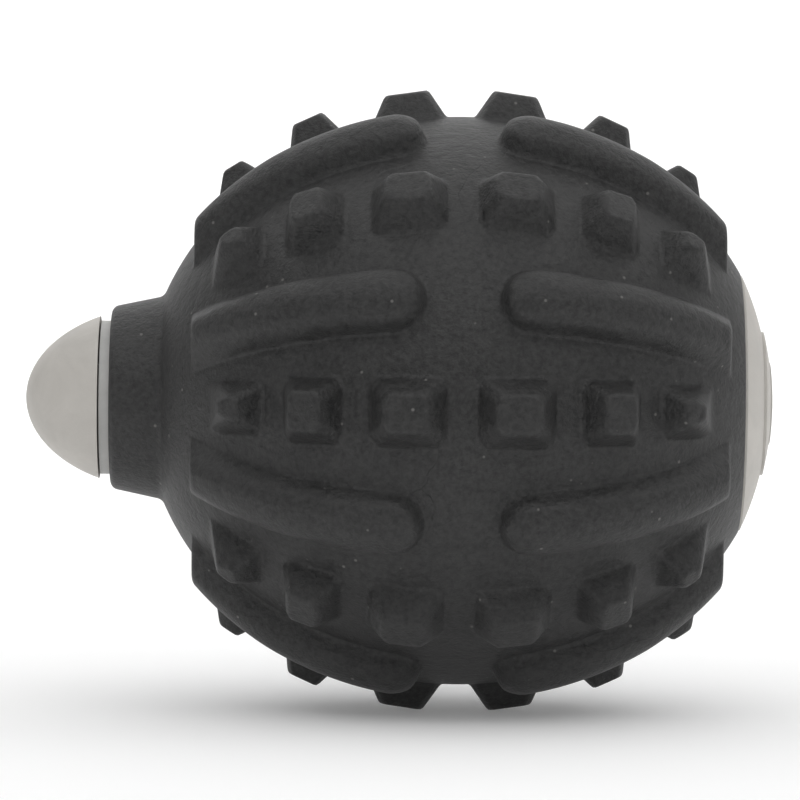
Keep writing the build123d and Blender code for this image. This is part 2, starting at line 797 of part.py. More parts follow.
def battery_clamp():
    """Arched clamp over the cell, screwed down with the cradle."""
    inner = cradle_side
    outer = inner + clamp_thickness
    front = clamp_x - clamp_width / 2
    back = clamp_x + clamp_width / 2
    foot = plate_top + cradle_foot
    reach = clamp_screw_y + clamp_foot_reach
    body = rod_x(front, back, outer, 0, cell_z)
    body &= block(front, back, -outer, outer, cell_z, cell_z + outer)
    body += block(front, back, -outer, outer, foot, cell_z)
    body += block(front, back, -reach, reach, foot, foot + clamp_thickness)
    body -= rod_x(front, back, inner, 0, cell_z)
    body -= block(front, back, -inner, inner, foot, cell_z)
    for y in (-clamp_screw_y, clamp_screw_y):
        body -= rod_z(foot, foot + clamp_thickness, m25[0] + screw_clearance, clamp_x, y)
    return body


def cell_pad():
    """Foam strip between the clamp and the cell."""
    outer = cradle_side
    front = clamp_x - clamp_width / 2
    back = clamp_x + clamp_width / 2
    ring = rod_x(front, back, outer, 0, cell_z) - rod_x(front, back, cell_radius, 0, cell_z)
    return ring & block(front, back, -outer, outer, cell_z, cell_z + outer)


def clamp_screws():
    """Screws through the clamp and the cradle into the plate."""
    seat = plate_top + cradle_foot + clamp_thickness
    length = clamp_thickness + cradle_foot + plate_thickness + clamp_boss_depth - thread_end
    one = Pos(clamp_x, 0, seat) * screw(m25, length)
    return group([Pos(0, y, 0) * one for y in (-clamp_screw_y, clamp_screw_y)])


# Motor

def motor_rod(x0, x1, radius):
    """Round rod on the motor's axis."""
    return rod_x(x0, x1, radius, 0, motor_z)


def motor_can():
    """Steel can, open at the back, with the front bush's boss."""
    body = motor_rod(motor_front, motor_back - bell_thickness, motor_radius)
    body += motor_rod(motor_front - motor_boss_length, motor_front, motor_boss_radius)
    body -= motor_rod(motor_front + can_wall, motor_back, motor_radius - can_wall)
    body -= motor_rod(motor_front - motor_boss_length, motor_front + can_wall, bush_radius)
    for y in (-motor_screw_y, motor_screw_y):
        body -= rod_x(motor_front, motor_front + can_wall, m2[0], y, motor_z)
    return body


def terminal_blade(side, x0, x1):
    """Flat blade of one terminal between two places along the motor."""
    middle = Pos((x0 + x1) / 2, side * terminal_y, motor_z)
    return middle * Box(x1 - x0, terminal_thickness, terminal_height)


def motor_end_bell():
    """Plastic end of the motor, with the back bush's seat."""
    body = motor_rod(motor_back - bell_thickness, motor_back, motor_radius)
    body -= motor_rod(motor_back - bell_thickness, motor_back, bush_radius)
    for side in (-1, 1):
        body -= terminal_blade(side, motor_back - bell_thickness, motor_back)
    return body


def motor_bushes():
    """Sintered bushes at both ends of the motor."""
    bore = shaft_radius + shaft_clearance
    front = motor_rod(motor_front - motor_boss_length, motor_front + can_wall, bush_radius)
    back = motor_rod(motor_back - bell_thickness, motor_back, bush_radius)
    hole = motor_rod(motor_front - motor_boss_length, motor_back, bore)
    return group([front - hole, back - hole])


def motor_magnets():
    """Two curved magnets in the can."""
    front = motor_front + can_wall + magnet_inset
    back = front + magnet_length
    half_gap = magnet_gap / 2
    ring = motor_rod(front, back, motor_radius - can_wall) - motor_rod(front, back, magnet_radius)
    gap = block(front, back, -motor_radius, motor_radius, motor_z - half_gap, motor_z + half_gap)
    return ring - gap


def motor_armature():
    """Wound rotor core with its slots."""
    front = motor_front + can_wall + armature_inset
    back = front + armature_length
    body = motor_rod(front, back, armature_radius) - motor_rod(front, back, shaft_radius)
    slot = block(front, back, -slot_width / 2, slot_width / 2, slot_floor, motor_radius)
    for turn in range(slot_count):
        body -= Pos(0, 0, motor_z) * Rot(X=360 / slot_count * turn) * slot
    return body


def motor_commutator():
    """Copper ring that the brushes run on."""
    back = motor_back - bell_thickness - commutator_gap
    front = back - commutator_length
    return motor_rod(front, back, commutator_radius) - motor_rod(front, back, shaft_radius)


def motor_brushes():
    """Carbon blocks between the commutator and the terminals."""
    back = motor_back - bell_thickness - brush_inset
    front = back - brush_length
    inner = commutator_radius + brush_gap
    outer = terminal_y - terminal_thickness / 2
    half = brush_height / 2
    left = block(front, back, inner, outer, motor_z - half, motor_z + half)
    return group([left, mirror(left, Plane.XZ)])


def motor_terminals():
    """Brass terminals through the end bell."""
    inside = motor_back - bell_thickness - terminal_depth
    outside = motor_back + terminal_reach
    return group([terminal_blade(side, inside, outside) for side in (-1, 1)])


def motor_shaft():
    """Shaft from the back bush to the eccentric weight."""
    return motor_rod(weight_front - shaft_front, motor_back + shaft_back, shaft_radius)


def eccentric_weight():
    """Half-round weight clamped on the shaft, heavy side down."""
    reach = weight_radius
    half = motor_rod(weight_front, weight_back, weight_radius)
    half &= block(weight_front, weight_back, -reach, reach, motor_z - reach, motor_z)
    body = half + motor_rod(weight_front, weight_back, weight_hub_radius)
    body -= motor_rod(weight_front, weight_back, shaft_radius)
    middle = (weight_front + weight_back) / 2
    return body - rod_z(motor_z, motor_z + weight_hub_radius, grub_radius, middle)


def weight_grub_screw():
    """Set screw that locks the weight to the shaft."""
    middle = (weight_front + weight_back) / 2
    top = motor_z + weight_hub_radius
    body = rod_z(motor_z + shaft_radius, top, grub_radius, middle)
    return body - rod_z(top - drive_depth, top, grub_socket_radius, middle)


def mount_screw_places():
    """(x, y) of the screws that hold the motor's bracket and strap under the plate."""
    front = bracket_front + bracket_reach / 2
    middle = strap_x + strap_width / 2
    return [(x, y) for x in (front, middle) for y in (-mount_screw_y, mount_screw_y)]


def motor_bracket():
    """Bent steel bracket between the motor's face and the plate."""
    half = mount_screw_y + bracket_side
    low = motor_z - bracket_drop
    body = block(bracket_front, bracket_front + bracket_reach, -half, half, -bracket_thickness, 0)
    body += block(bracket_front, motor_front, -motor_radius, motor_radius, low, 0)
    body -= motor_rod(bracket_front, motor_front, motor_boss_radius + bond_gap)
    for y in (-motor_screw_y, motor_screw_y):
        body -= rod_x(bracket_front, motor_front, m2[0] + screw_clearance, y, motor_z)
    for x, y in mount_screw_places()[:2]:
        body -= rod_z(-bracket_thickness, 0, m25[0] + screw_clearance, x, y)
    return body


def motor_face_screws():
    """Screws from the bracket into the motor's face."""
    one = Pos(bracket_front, 0, motor_z) * Rot(Y=-90) * screw(m2, bracket_thickness + can_wall)
    return group([Pos(0, y, 0) * one for y in (-motor_screw_y, motor_screw_y)])


def motor_strap():
    """Steel strap round the motor can, hung from the plate."""
    inner = motor_radius + pad_thickness
    outer = inner + bracket_thickness
    front = strap_x
    back = strap_x + strap_width
    half = mount_screw_y + bracket_side
    body = motor_rod(front, back, outer)
    body &= block(front, back, -outer, outer, motor_z - outer, motor_z)
    body += block(front, back, -outer, outer, motor_z, 0)
    body += block(front, back, -half, half, -bracket_thickness, 0)
    body -= motor_rod(front, back, inner)
    body -= block(front, back, -inner, inner, motor_z, 0)
    for x, y in mount_screw_places()[2:]:
        body -= rod_z(-bracket_thickness, 0, m25[0] + screw_clearance, x, y)
    return body


def motor_pad():
    """Rubber pad between the strap and the motor."""
    front = strap_x
    back = strap_x + strap_width
    outer = motor_radius + pad_thickness
    ring = motor_rod(front, back, outer) - motor_rod(front, back, motor_radius)
    return ring & block(front, back, -outer, outer, motor_z - outer, motor_z)


def mount_screws():
    """Screws from below that hold the bracket and the strap to the plate."""
    length = bracket_thickness + plate_thickness + mount_boss_height - thread_end
    one = Pos(0, 0, -bracket_thickness) * Rot(X=180) * screw(m25, length)
    return group([Pos(x, y, 0) * one for x, y in mount_screw_places()])


# Wires: straight runs joined by arcs

def lead(points):
    """Insulated wire along the points, with each bend as round as its runs allow."""
    corners = [Vector(*p) for p in points]
    runs = [b - a for a, b in zip(corners, corners[1:])]
    radii = []
    for before, after in zip(runs, runs[1:]):
        half_turn = radians(before.get_angle(after)) / 2
        radii.append(bend_share * min(before.length, after.length) / tan(half_turn))
    path = FilletPolyline(*corners, radius=radii)
    section = Plane(origin=path @ 0, z_dir=path % 0) * Circle(wire_radius)
    return sweep(section, path)


def motor_lead(side):
    """Lead from one motor terminal, through the bulkhead, to the board."""
    start = motor_back + terminal_reach
    y = side * terminal_y
    door = (side * wire_side, motor_wire_z)
    bend = bulkhead_x - bulkhead_thickness - wire_run
    points = [(start, y, motor_z), (start + motor_wire_start, y, motor_z)]
    return lead(points + [(bend, *door), (board_back, *door)])


def battery_lead_positive():
    """Lead from the cell's positive tab to the board."""
    start = cell_back + tab_thickness
    door = (wire_side, cell_wire_z)
    bend = bulkhead_x - bulkhead_thickness - wire_run
    points = [(start, wire_side, cell_z), (start + cell_wire_start, wire_side, cell_z)]
    return lead(points + [(bend, *door), (board_back, *door)])


def battery_lead_negative():
    """Lead from the cell's negative tab, round its end and back past it, to the board."""
    start = cell_front - tab_thickness
    side_y = -(cradle_side + clamp_thickness + side_wire_gap)
    door_y = -wire_side
    door_z = cell_wire_z
    bend = bulkhead_x - bulkhead_thickness - 3 * wire_run
    points = [
        (start, -2.0, cell_z),
        (start - 6.0, -2.0, cell_z),
        (start - 8.6, -8.0, cell_z),
        (start - 3.0, side_y, cell_z),
        (start + 8.0, side_y, cell_z),
        (cell_x - 5.0, side_y, cell_z + 0.5),
        (cell_x + 9.0, side_y - 0.2, cell_z - 0.3),
        (cell_back - 1.0, side_y + 0.4, cell_z - 0.6),
        (pocket_back + cradle_end + lead_turn_gap, door_y - 7.5, door_z + 4.6),
        (bend, door_y, door_z),
        (board_back, door_y, door_z),
    ]
    return lead(points)


core_body, core_outside = core()
sleeve = rubber_sleeve()
tip = tip_dome()
button = power_button()

nodes = {
    "rubber_sleeve": sleeve,
    "core_shell_lower": core_shell_lower(core_body, core_outside),
    "core_shell_upper": core_shell_upper(core_body, core_outside),
    "shell_screws": shell_screws(),
    "tip_dome": tip,
    "tip_insert": tip_insert(),
    "tip_screw": tip_screw(),
    "tip_mount": tip_mount(),
    "neck_o_ring": neck_o_ring(),
    "end_cap": end_cap(),
    "cap_gasket": cap_gasket(),
    "cap_screws": cap_screws(),
    "button_bezel": button_bezel(),
    "power_button": button,
    "control_board": control_board(),
    "board_screws": board_screws(),
    "board_chips": board_chips(),
    "switch_housing": switch_housing(),
    "switch_plunger": switch_plunger(),
    "charging_jack": charging_jack(),
    "jack_pin": jack_pin(),
    "status_led": status_led(),
    "light_pipe": light_pipe(),
    "chassis_plate": chassis_plate(),
    "chassis_screws": chassis_screws(),
    "battery_cradle": battery_cradle(),
    "battery_cell": battery_cell(),
    "cell_tabs": cell_tabs(),
    "battery_clamp": battery_clamp(),
    "cell_pad": cell_pad(),
    "clamp_screws": clamp_screws(),
    "motor_can": motor_can(),
    "motor_end_bell": motor_end_bell(),
    "motor_bushes": motor_bushes(),
    "motor_magnets": motor_magnets(),
    "motor_armature": motor_armature(),
    "motor_commutator": motor_commutator(),
    "motor_brushes": motor_brushes(),
    "motor_terminals": motor_terminals(),
    "motor_shaft": motor_shaft(),
    "eccentric_weight": eccentric_weight(),
    "weight_grub_screw": weight_grub_screw(),
    "motor_bracket": motor_bracket(),
    "motor_face_screws": motor_face_screws(),
    "motor_strap": motor_strap(),
    "motor_pad": motor_pad(),
    "mount_screws": mount_screws(),
    "motor_lead_red": motor_lead(1),
    "motor_lead_black": motor_lead(-1),
    "battery_lead_red": battery_lead_positive(),
    "battery_lead_black": battery_lead_negative(),
}

# Part frame: the origin is at the bottom, in the middle of the overall length
middle_x = (tip.bounding_box().min.X + button.bounding_box().max.X) / 2
floor_z = sleeve.bounding_box().min.Z
print("frame shift:", -middle_x, -floor_z)
os.makedirs("parts", exist_ok=True)
for name, solid in nodes.items():
    export_step(Pos(-middle_x, 0, -floor_z) * solid, f"parts/{name}.step")
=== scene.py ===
import json
import math

import bpy
import numpy as np
from mathutils import Euler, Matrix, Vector


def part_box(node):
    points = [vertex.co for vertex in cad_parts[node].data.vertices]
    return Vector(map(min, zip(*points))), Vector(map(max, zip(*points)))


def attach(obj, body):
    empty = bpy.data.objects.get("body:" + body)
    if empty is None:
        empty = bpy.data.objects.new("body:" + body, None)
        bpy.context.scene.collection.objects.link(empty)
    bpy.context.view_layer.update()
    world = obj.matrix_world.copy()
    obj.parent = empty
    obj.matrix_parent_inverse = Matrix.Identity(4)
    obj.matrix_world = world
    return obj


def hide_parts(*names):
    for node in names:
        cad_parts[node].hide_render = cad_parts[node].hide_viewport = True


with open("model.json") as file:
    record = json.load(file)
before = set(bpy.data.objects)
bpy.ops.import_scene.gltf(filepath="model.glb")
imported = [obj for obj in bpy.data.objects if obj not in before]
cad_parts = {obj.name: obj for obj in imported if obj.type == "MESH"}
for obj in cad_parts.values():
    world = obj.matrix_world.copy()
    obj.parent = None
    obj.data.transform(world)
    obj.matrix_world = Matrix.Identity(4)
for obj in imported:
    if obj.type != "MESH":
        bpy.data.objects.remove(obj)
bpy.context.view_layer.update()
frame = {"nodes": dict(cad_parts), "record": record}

# The rubber skin is drawn in millimetres about the centre of its body, X along the long axis with
# the massage tip at -X and Z up, and mesh_object() turns that into metres about CENTRE. The finish
# of each surface, the floor, the lights and the camera are in metres.
MM = 0.001
BODY_HALF_LENGTH = 50.6
BODY_RADIUS = 45.5
NECK_REACH = 4.95
NECK_FACE_RADIUS = 14.55
NECK_DRAFT = math.radians(12)
NECK_EDGE = 1.3
NECK_ROOT = 1.6
SLEEVE_WALL = 3.6
CAP_OPENING = 21.0
CAP_RADIUS = 20.45
NOSE_RADIUS = 12.2
COLLAR_RADIUS = 17.3
SEAM_DEPTH = 0.45           # dark gap between the rubber and the cap
ROWS = 8
PITCH = 2 * math.pi / ROWS
STUD_RISE = 4.5
BAR_START = 5.4             # from the middle of the body to the round end of a bar
BAR_HALF_WIDTH = 5.1
BAR_STOP = 42.2             # from the middle of the body to the flat end of a bar
BAR_CROWN = 0.095           # how fast a bar's crest falls away to its sides
SKIN_STEP = 0.36            # spacing of the skin's vertices along a meridian
SKIN_COLUMNS = 720

NECK_X = -(BODY_HALF_LENGTH + NECK_REACH)
CAP_X = BODY_HALF_LENGTH * math.sqrt(1 - (CAP_OPENING / BODY_RADIUS) ** 2)
sleeve_low, sleeve_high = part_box("rubber_sleeve")
CENTRE = Vector((sleeve_low.x - NECK_X * MM, 0, (sleeve_low.z + sleeve_high.z) / 2))


# Meshes

def mesh_object(name, vertices, faces, smooth=True):
    """New object from vertices in millimetres about the body's centre."""
    mesh = bpy.data.meshes.new(name)
    mesh.from_pydata((np.asarray(vertices) * MM + np.array(CENTRE)).tolist(), [], faces)
    mesh.polygons.foreach_set("use_smooth", [smooth] * len(mesh.polygons))
    mesh.update()
    made = bpy.data.objects.new(name, mesh)
    bpy.context.scene.collection.objects.link(made)
    return made


def ring_faces(rows, columns):
    """Quads of a grid that closes both along a profile loop and around the axis."""
    i, j = np.meshgrid(np.arange(rows), np.arange(columns), indexing="ij")
    next_i, next_j = (i + 1) % rows, (j + 1) % columns
    corners = (i * columns + j, i * columns + next_j, next_i * columns + next_j, next_i * columns + j)
    return np.stack(corners, -1).reshape(-1, 4).tolist()


# Rubber skin

def ellipse_height(x):
    """Radius of the body at x."""
    return BODY_RADIUS * np.sqrt(np.clip(1 - (x / BODY_HALF_LENGTH) ** 2, 0, None))


def ellipse_normal(x):
    """Outward unit normal of the body at x, as (along X, outwards)."""
    along = x / BODY_HALF_LENGTH ** 2
    outward = ellipse_height(x) / BODY_RADIUS ** 2
    length = np.hypot(along, outward)
    return along / length, outward / length


def neck_fillet():
    """Where along X the concave fillet at the neck's root leaves the ellipse, and its centre."""
    along, rise = math.cos(NECK_DRAFT), math.sin(NECK_DRAFT)
    low, high = NECK_X + 3, NECK_X + 12
    for _ in range(60):
        x = (low + high) / 2
        nx, nr = ellipse_normal(x)
        centre = (x + NECK_ROOT * nx, ellipse_height(x) + NECK_ROOT * nr)
        off_cone = (centre[1] - NECK_FACE_RADIUS) * along - (centre[0] - NECK_X) * rise
        if off_cone < NECK_ROOT:
            low = x
        else:
            high = x
    return x, centre


def arc(centre, radius, start, end, count):
    """Points on an arc between two angles, in (x, radius) coordinates."""
    angles = np.linspace(start, end, count)
    return np.stack((centre[0] + radius * np.cos(angles), centre[1] + radius * np.sin(angles)), -1)


def skin_profile():
    """(x, radius) points of the skin's closed outline, and how many of them lie on the ellipse."""
    junction_x, centre = neck_fillet()
    ends = [math.asin(x / BODY_HALF_LENGTH) for x in (CAP_X, junction_x)]
    turn = np.linspace(ends[0], ends[1], 4000)
    dense = np.stack((BODY_HALF_LENGTH * np.sin(turn), BODY_RADIUS * np.cos(turn)), -1)
    travel = np.concatenate(([0], np.cumsum(np.hypot(*np.diff(dense, axis=0).T))))
    stations = np.linspace(0, travel[-1], int(travel[-1] / SKIN_STEP))
    body = np.stack([np.interp(stations, travel, dense[:, k]) for k in (0, 1)], -1)
    nx, nr = ellipse_normal(junction_x)
    from_body = math.atan2(-nr, -nx)
    from_cone = -math.pi / 2 + NECK_DRAFT
    root = arc(centre, NECK_ROOT, from_body, from_cone, 9)[1:]
    reach = NECK_EDGE * math.tan((math.pi / 2 - NECK_DRAFT) / 2)
    drop = reach * math.sin(NECK_DRAFT) - NECK_EDGE * math.cos(NECK_DRAFT)
    edge_centre = (NECK_X + NECK_EDGE, NECK_FACE_RADIUS + drop)
    edge = arc(edge_centre, NECK_EDGE, math.pi / 2 + NECK_DRAFT, math.pi, 8)
    cone = np.linspace(root[-1], edge[0], 22)[1:-1]
    bore = [(NECK_X, NOSE_RADIUS + 0.5), (NECK_X + 0.1, NOSE_RADIUS + 0.1), (NECK_X + 0.4, NOSE_RADIUS)]
    face = np.concatenate((np.linspace(edge[-1], bore[0], 4)[1:-1], bore))
    inner_a, inner_b = BODY_HALF_LENGTH - SLEEVE_WALL, BODY_RADIUS - SLEEVE_WALL
    nose_turn = -math.acos(NOSE_RADIUS / inner_b)
    collar_turn = math.acos(COLLAR_RADIUS / inner_b)
    inside = np.linspace(nose_turn, collar_turn, 40)
    cavity = np.stack((inner_a * np.sin(inside), inner_b * np.cos(inside)), -1)
    seam_x = CAP_X - SEAM_DEPTH
    rim = np.array([(seam_x - 0.3, COLLAR_RADIUS), (seam_x, COLLAR_RADIUS + 0.3)])
    seam = np.linspace((seam_x, COLLAR_RADIUS + 1), (seam_x, CAP_RADIUS - 0.05), 4)
    lip = [(seam_x + 0.06, CAP_RADIUS + 0.02), (CAP_X - 0.08, CAP_RADIUS + 0.1)]
    lip.append((CAP_X, CAP_RADIUS + 0.22))
    outline = np.concatenate((body, root, cone, edge, face, cavity, rim, seam, lip))
    return outline, len(body)


def soft_min(a, b, softness):
    """Smaller of two heights, with the edge between them rounded."""
    blend = np.clip(0.5 + 0.5 * (b - a) / softness, 0, 1)
    return b * (1 - blend) + a * blend - softness * blend * (1 - blend)


def soft_max(a, b, softness):
    """Larger of two heights, with the corner between them filled."""
    return -soft_min(-a, -b, softness)


def wall_height(x, radius, nx, nr, start, end, inward):
    """Height at which the normal at (x, radius) meets the line from start to end."""
    line = np.subtract(end, start)
    out = np.array((-line[1], line[0])) / np.hypot(*line)
    if inward:
        out = -out
    gap = (start[0] - x) * out[0] + (start[1] - radius) * out[1]
    facing = nx * out[0] + nr * out[1]
    return gap / np.where(np.abs(facing) < 0.05, 0.05, facing)


def stud_height(x, radius, turn, base, base_width, top, top_width, corner, edge, root):
    """Height of a stud over the body. base and top hold the (x, radius) ends of its side view."""
    nx, nr = ellipse_normal(x)
    inner = wall_height(x, radius, nx, nr, base[0], top[0], False)
    outer = wall_height(x, radius, nx, nr, base[1], top[1], True)
    crest = wall_height(x, radius, nx, nr, top[0], top[1], False)
    draft = (base_width - top_width) / (2 * STUD_RISE)
    across = np.abs(np.sin(turn))
    side = (base_width / 2 - radius * across) / (draft + nr * across)
    lean_in = np.hypot(*np.subtract(top[0], base[0])) / STUD_RISE
    height = soft_min(side, crest, edge)
    inner_draft = math.tan(math.acos(min(1, 1 / lean_in))) + 0.25
    for wall in (inner, outer):
        height = soft_min(height, wall, edge)
        bevel = (wall * inner_draft + side * draft - corner) / (inner_draft + draft)
        height = soft_min(height, bevel, edge * 0.7)
    return soft_max(height, np.zeros_like(height), root)


STUDS = [
    dict(base=((2.3, 45.45), (14.3, 43.65)), top=((5.25, 49.72), (12.2, 48.72)),
         base_width=10.9, top_width=5.8, corner=1.3, edge=0.7, root=0.5),
    dict(base=((18.3, 42.4), (27.4, 38.25)), top=((22.2, 46.05), (26.9, 43.9)),
         base_width=10.2, top_width=6.2, corner=1.2, edge=0.65, root=0.5),
    dict(base=((31.0, 36.0), (39.0, 29.0)), top=((35.0, 38.2), (37.9, 36.4)),
         base_width=8.5, top_width=3.1, corner=0.7, edge=0.55, root=0.5),
]


def bar_height_at(x, radius, turn):
    """Height of a bar over the body, from its round end near the middle to its flat end."""
    nx, nr = ellipse_normal(x)
    across = np.abs(np.sin(turn)) * radius
    half_base = np.interp(x, (5, 25, 41), (BAR_HALF_WIDTH, BAR_HALF_WIDTH, BAR_HALF_WIDTH - 0.2))
    past_end = np.clip(BAR_START + BAR_HALF_WIDTH - x, 0, None) / nr * 1.04
    off_line = np.hypot(across, past_end)
    steepness = np.interp(x, (5, 20, 30, 41), (3.2, 2.6, 1.9, 1.0))
    rise = np.interp(x, (5, 15, 28, 39.5), (4.5, 4.45, 4.2, 3.6))
    crest = rise - BAR_CROWN * off_line ** 2
    height = soft_min((half_base - off_line) * steepness, crest, 1.2)
    flat_end = (BAR_STOP - x) / np.clip(nx, 0.2, None)
    height = soft_min(height, np.where(x > 25, flat_end, 20), 0.7)
    return soft_max(height, np.zeros_like(height), 0.25)


def row_turn(turn, first):
    """Angle from the nearest row, for rows a pitch apart from the first."""
    return (turn - first + PITCH / 2) % PITCH - PITCH / 2


def relief(x, radius, turn):
    """Height of the raised pattern over the body. turn is the angle about X from straight up."""
    distance = np.abs(x)
    height = bar_height_at(distance, radius, row_turn(turn, PITCH / 2))
    to_row = row_turn(turn, 0)
    for shape in STUDS:
        height = np.maximum(height, stud_height(distance, radius, to_row, **shape))
    return height


def rubber_skin():
    """The rubber sleeve as one closed skin, its studs and bars raised from it."""
    outline, on_body = skin_profile()
    turn = np.arange(SKIN_COLUMNS) * 2 * math.pi / SKIN_COLUMNS
    x, around = np.meshgrid(outline[:, 0], turn, indexing="ij")
    radius = np.repeat(outline[:, 1:], SKIN_COLUMNS, 1)
    height = np.zeros_like(x)
    body = slice(0, on_body)
    height[body] = relief(x[body], radius[body], around[body])
    nx, nr = ellipse_normal(x[body])
    x[body] += height[body] * nx
    radius[body] += height[body] * nr
    vertices = np.stack((x, radius * np.sin(around), radius * np.cos(around)), -1).reshape(-1, 3)
    skin = mesh_object("rubber_skin", vertices, ring_faces(*x.shape))
    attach(skin, "ball")
    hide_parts("rubber_sleeve")
    return skin


# Materials

class Nodes:
    """A material's node tree, with short calls to add to it."""

    def __init__(self, name):
        self.material = bpy.data.materials.new(name)
        self.material.use_nodes = True
        self.tree = self.material.node_tree
        self.shader = self.tree.nodes["Principled BSDF"]
        self.place = self.tree.nodes.new("ShaderNodeTexCoord").outputs["Object"]

    def add(self, kind, inputs=(), **settings):
        node = self.tree.nodes.new(kind)
        for key, value in settings.items():
            setattr(node, key, value)
        for key, value in dict(inputs).items():
            self.put(node.inputs[key], value)
        return node

    def put(self, socket, value):
        if isinstance(value, bpy.types.NodeSocket):
            self.tree.links.new(value, socket)
        else:
            socket.default_value = value

    def set(self, **values):
        for key, value in values.items():
            self.put(self.shader.inputs[key.replace("_", " ")], value)

    def noise(self, scale, detail=4, roughness=0.55, distortion=0.0, stretch=None):
        place = self.place
        if stretch:
            place = self.add("ShaderNodeMapping", {"Vector": place, "Scale": stretch}).outputs[0]
        inputs = {"Vector": place, "Scale": scale, "Detail": detail, "Roughness": roughness}
        inputs["Distortion"] = distortion
        return self.add("ShaderNodeTexNoise", inputs).outputs["Fac"]

    def span(self, value, low, high, to_low, to_high):
        source = {"Value": value, "From Min": low, "From Max": high}
        inputs = {**source, "To Min": to_low, "To Max": to_high}
        return self.add("ShaderNodeMapRange", inputs).outputs["Result"]

    def mix(self, factor, first, second):
        node = self.add("ShaderNodeMix", data_type="RGBA")
        self.put(node.inputs[0], factor)
        self.put(node.inputs[6], (*first, 1) if isinstance(first, tuple) else first)
        self.put(node.inputs[7], (*second, 1) if isinstance(second, tuple) else second)
        return node.outputs[2]

    def bump(self, height, distance, strength=1.0, normal=None):
        inputs = {"Height": height, "Distance": distance, "Strength": strength}
        node = self.add("ShaderNodeBump", inputs)
        if normal is not None:
            self.put(node.inputs["Normal"], normal)
        return node.outputs["Normal"]


def crease_and_shade_lines(n):
    """Broken, wandering hairlines, 1 on a line and 0 away from it; the mask raises real crease relief
    and also paints shade into the lines.
    """
    wander = n.add("ShaderNodeTexNoise", {"Vector": n.place, "Scale": 55.0, "Detail": 3.0})
    shove = {0: wander.outputs["Color"], "Scale": 0.016}
    push = n.add("ShaderNodeVectorMath", shove, operation="SCALE").outputs[0]
    warped = n.add("ShaderNodeVectorMath", {0: n.place, 1: push}).outputs[0]
    cells = n.add("ShaderNodeTexVoronoi", {"Vector": warped, "Scale": 42.0}, feature="DISTANCE_TO_EDGE")
    line = n.span(cells.outputs["Distance"], 0.0, 0.006, 0.5, 0)
    kept = n.span(n.noise(38, 2), 0.57, 0.66, 0, 1)
    return n.add("ShaderNodeMath", {0: line, 1: kept}, operation="MULTIPLY").outputs[0]


def rubber_material():
    """Black rubber: cloudy sheen, pebbled moulding grain, hairline creases darkened with painted shade,
    and a little dust.
    """
    n = Nodes("black_rubber")
    clouds = n.noise(45, 5, 0.6, 0.4)
    flow = n.noise(120, 6, 0.65, 1.2, (0.35, 1, 1))
    mottle = n.noise(420, 4, 0.65, 0.3)
    pebbles = n.noise(1100, 4, 0.7, 0.2)
    grain = n.noise(2700, 2, 0.6)
    tone = n.mix(n.span(clouds, 0.35, 0.7, 0, 1), (0.0105, 0.0105, 0.0107), (0.0165, 0.0165, 0.0166))
    tone = n.mix(n.span(mottle, 0.35, 0.7, 0, 0.4), tone, (0.026, 0.0258, 0.0253))
    tone = n.mix(n.span(pebbles, 0.4, 0.7, 0, 0.5), tone, (0.030, 0.0295, 0.0285))
    specks = n.add("ShaderNodeTexVoronoi", {"Vector": n.place, "Scale": 240.0}).outputs["Distance"]
    dust = n.span(specks, 0.04, 0.075, 0.6, 0.0)
    crease_and_painted_shade = crease_and_shade_lines(n)
    # painted shade: the crease lines are darkened to near black in the colour, standing in for shade
    # inside the creases
    tone = n.mix(crease_and_painted_shade, tone, (0.006, 0.006, 0.006))
    n.set(Base_Color=n.mix(dust, tone, (0.19, 0.185, 0.175)))
    n.set(Roughness=n.span(pebbles, 0.3, 0.7, 0.42, 0.60))
    n.set(Specular_IOR_Level=n.span(pebbles, 0.3, 0.7, 0.34, 0.68))
    n.shader.inputs["Sheen Weight"].default_value = 0.03
    n.shader.inputs["Sheen Roughness"].default_value = 0.5
    normal = n.bump(flow, 0.0002)
    normal = n.bump(crease_and_painted_shade, -0.00012, 1.0, normal)
    normal = n.bump(mottle, 0.0003, 1.0, normal)
    normal = n.bump(pebbles, 0.00016, 1.0, normal)
    n.set(Normal=n.bump(grain, 0.00008, 1.0, normal))
    return n.material


def moulded_material(name, light, dark, roughness, mottle=70, grain_depth=0.00003):
    """Matt moulded plastic with a faint mottle and a fine spark-eroded grain."""
    n = Nodes(name)
    mottling = n.noise(mottle, 6, 0.6, 1.5)
    swirl = n.noise(mottle * 3.2, 4, 0.5, 2.5)
    tone = n.mix(n.span(mottling, 0.35, 0.65, 0, 1), dark, light)
    n.set(Base_Color=n.mix(n.span(swirl, 0.6, 0.75, 0, 0.25), tone, dark))
    n.set(Roughness=n.span(mottling, 0.3, 0.7, roughness - 0.05, roughness + 0.05))
    normal = n.bump(n.noise(700, 4, 0.6), 2 * grain_depth)
    n.set(Normal=n.bump(n.noise(2600, 2, 0.5), grain_depth, 1.0, normal))
    return n.material


def metal_material(name, colour, roughness, stretch=(1, 12, 12)):
    """Turned or rolled metal with drawn-out streaks."""
    n = Nodes(name)
    streaks = n.noise(500, 4, 0.6, 0, stretch)
    darker = tuple(c * 0.72 for c in colour)
    n.set(Base_Color=n.mix(streaks, darker, colour))
    n.set(Roughness=n.span(streaks, 0.3, 0.7, roughness - 0.06, roughness + 0.08))
    n.shader.inputs["Metallic"].default_value = 1.0
    n.set(Normal=n.bump(streaks, 0.00001))
    return n.material


def clear_material(name):
    """Clear acrylic with a faint haze."""
    n = Nodes(name)
    n.set(Base_Color=n.mix(n.noise(300), (0.90, 0.93, 0.92), (0.97, 0.98, 0.98)))
    n.set(Roughness=n.span(n.noise(900), 0.3, 0.7, 0.08, 0.18))
    n.shader.inputs["Transmission Weight"].default_value = 0.8
    return n.material


